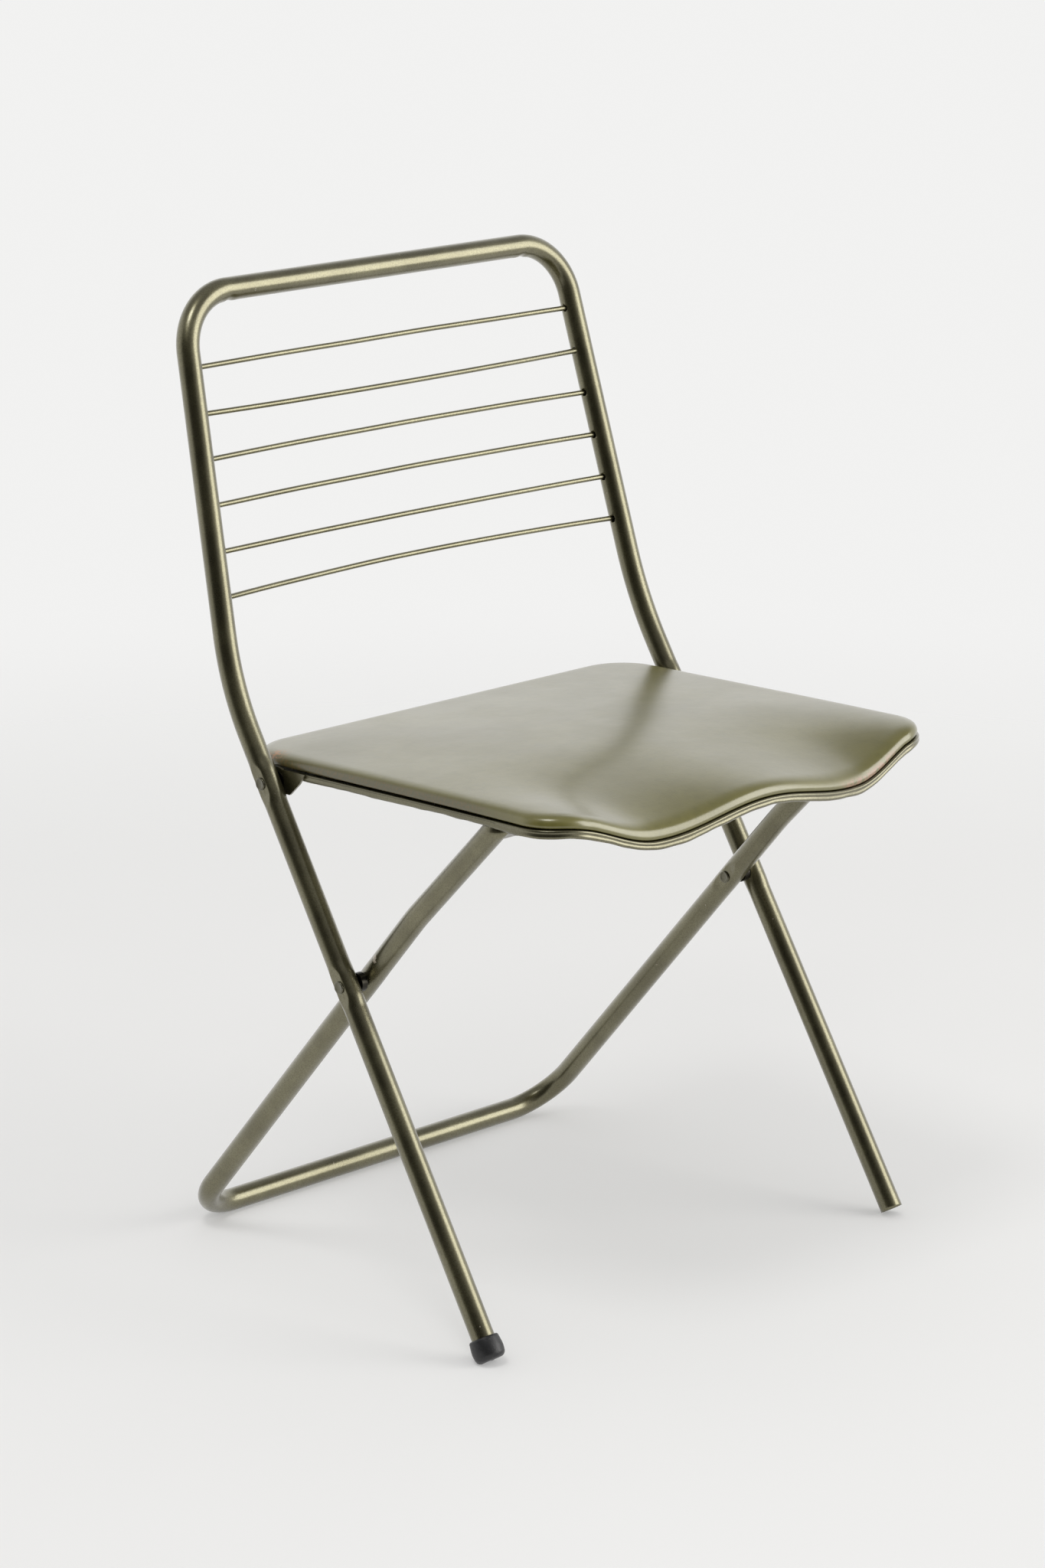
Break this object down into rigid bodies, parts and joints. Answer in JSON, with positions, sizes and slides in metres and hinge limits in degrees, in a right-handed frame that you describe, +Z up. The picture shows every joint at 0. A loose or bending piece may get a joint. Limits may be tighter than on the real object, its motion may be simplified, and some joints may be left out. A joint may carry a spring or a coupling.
{
  "type": "folding chair",
  "caption": "Folding chair: bent tube back frame with back wires, crossing U-shaped rear legs and a thin padded seat with a waved front edge.",
  "frame": {"origin": "on the floor, midway between the front feet and midway between the front edge of the seat and the rear of the floor bar", "axes": "+X across the chair to the sitter's right as seen from the front, so the seat's front faces -Y; +Z up"},
  "size_m": [0.4918, 0.47, 0.8],
  "materials": {
    "olive_paint": "semi-gloss metallic olive enamel with small chips",
    "bare_steel": "dull plated steel",
    "olive_vinyl": "smooth satin vinyl over foam",
    "black_rubber": "matt",
    "board_wood": "raw plywood, hidden"
  },
  "bodies": {
    "back_frame": {"back_frame_tube": "olive_paint", "back_wire_1": "olive_paint", "back_wire_2": "olive_paint", "back_wire_3": "olive_paint", "back_wire_4": "olive_paint", "back_wire_5": "olive_paint", "back_wire_6": "olive_paint", "foot_ferrule_left": "black_rubber", "crossing_rivet_left": "bare_steel", "crossing_rivet_right": "bare_steel", "crossing_spacer_left": "bare_steel", "crossing_spacer_right": "bare_steel", "seat_rivet_left": "bare_steel", "seat_rivet_right": "bare_steel", "seat_washer_left": "bare_steel", "seat_washer_right": "bare_steel"},
    "rear_legs": {"rear_leg_tube": "olive_paint", "slider_rod": "bare_steel"},
    "seat": {"seat_pan": "olive_paint", "hinge_lug_left": "olive_paint", "hinge_lug_right": "olive_paint", "leg_guide_left": "olive_paint", "leg_guide_right": "olive_paint", "seat_board": "board_wood", "seat_screws": "bare_steel", "seat_pad": "olive_vinyl"}
  },
  "joints": [
    {"name": "leg_fold", "type": "hinge", "parent": "back_frame", "child": "rear_legs", "pos_m": [0, 0, 0.27], "axis": [1, 0, 0], "range_deg": [-70, 0]},
    {"name": "seat_fold", "type": "hinge", "parent": "back_frame", "child": "seat", "pos_m": [0, 0.09373, 0.4177], "axis": [1, 0, 0], "range_deg": [-100, 0]}
  ],
  "couplings": [
    {"joint": "seat_fold", "follows": "leg_fold", "ratio": 1.428}
  ]
}
